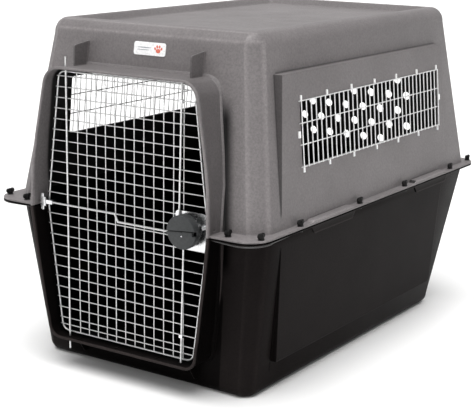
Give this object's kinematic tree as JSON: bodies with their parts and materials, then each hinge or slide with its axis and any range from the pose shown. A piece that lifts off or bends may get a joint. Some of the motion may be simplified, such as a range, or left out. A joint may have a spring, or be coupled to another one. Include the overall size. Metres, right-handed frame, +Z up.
{
  "type": "pet transport carrier",
  "caption": "Giant hard-shell plastic pet carrier with side and rear vents and a hinged wire front door held by a knob-driven rod latch.",
  "frame": {"origin": "centre of the footprint, on the floor", "axes": "+Z up, the door faces -Y, +X on the right of someone facing the door"},
  "size_m": [0.813, 1.244, 0.8884],
  "materials": {
    "dark_plastic": "fine leather grain, semi-gloss",
    "grey_plastic": "fine leather grain, satin",
    "zinc_wire": "bright zinc plating",
    "zinc_plate": "zinc plated sheet",
    "black_plastic": "moulded nylon",
    "black_steel": "black oxide",
    "knob_plastic": "moulded, satin",
    "label": "white film"
  },
  "bodies": {
    "carrier": {"bottom_shell": "dark_plastic", "top_shell": "grey_plastic", "vent_grille_right": "zinc_wire", "vent_grille_left": "zinc_wire", "vent_clips_right": "zinc_wire", "vent_clips_left": "zinc_wire", "flange_bolts": "black_steel", "flange_washers": "black_steel", "wing_nuts": "black_plastic", "label_plate": "label"},
    "door": {"door_frame": "zinc_wire", "door_vertical_wires": "zinc_wire", "door_cross_wires": "zinc_wire", "hinge_rod": "zinc_wire", "latch_backplate": "zinc_plate", "rod_guides": "zinc_plate"},
    "knob": {"latch_knob": "knob_plastic", "latch_cam": "zinc_plate", "latch_spindle": "zinc_plate", "spindle_washer": "zinc_plate", "spindle_screw": "zinc_plate"},
    "upper_rod": {"upper_latch_rod": "zinc_wire"},
    "lower_rod": {"lower_latch_rod": "zinc_wire"},
    "left_rod": {"left_latch_rod": "zinc_wire"},
    "right_rod": {"right_latch_rod": "zinc_wire"}
  },
  "joints": [
    {"name": "door_swing", "type": "hinge", "parent": "carrier", "child": "door", "pos_m": [-0.1775, -0.5879, 0.43], "axis": [0, 0, -1], "range_deg": [0, 115]},
    {"name": "knob_turn", "type": "hinge", "parent": "door", "child": "knob", "pos_m": [0.197, -0.6, 0.426], "axis": [0, 1, 0], "range_deg": [0, 90]},
    {"name": "upper_rod_slide", "type": "slide", "parent": "door", "child": "upper_rod", "axis": [0.0197, 0, 0.9998], "range_m": [0, 0.034]},
    {"name": "lower_rod_slide", "type": "slide", "parent": "door", "child": "lower_rod", "axis": [-0.0226, 0, -0.9997], "range_m": [0, 0.034]},
    {"name": "left_rod_slide", "type": "slide", "parent": "door", "child": "left_rod", "axis": [-1, 0, 0], "range_m": [0, 0.034]},
    {"name": "right_rod_slide", "type": "slide", "parent": "door", "child": "right_rod", "axis": [1, 0, 0], "range_m": [0, 0.034]}
  ],
  "couplings": [
    {"joint": "upper_rod_slide", "follows": "knob_turn", "m_per_rad": 0.0216},
    {"joint": "lower_rod_slide", "follows": "knob_turn", "m_per_rad": 0.0216},
    {"joint": "left_rod_slide", "follows": "knob_turn", "m_per_rad": 0.0216},
    {"joint": "right_rod_slide", "follows": "knob_turn", "m_per_rad": 0.0216}
  ]
}
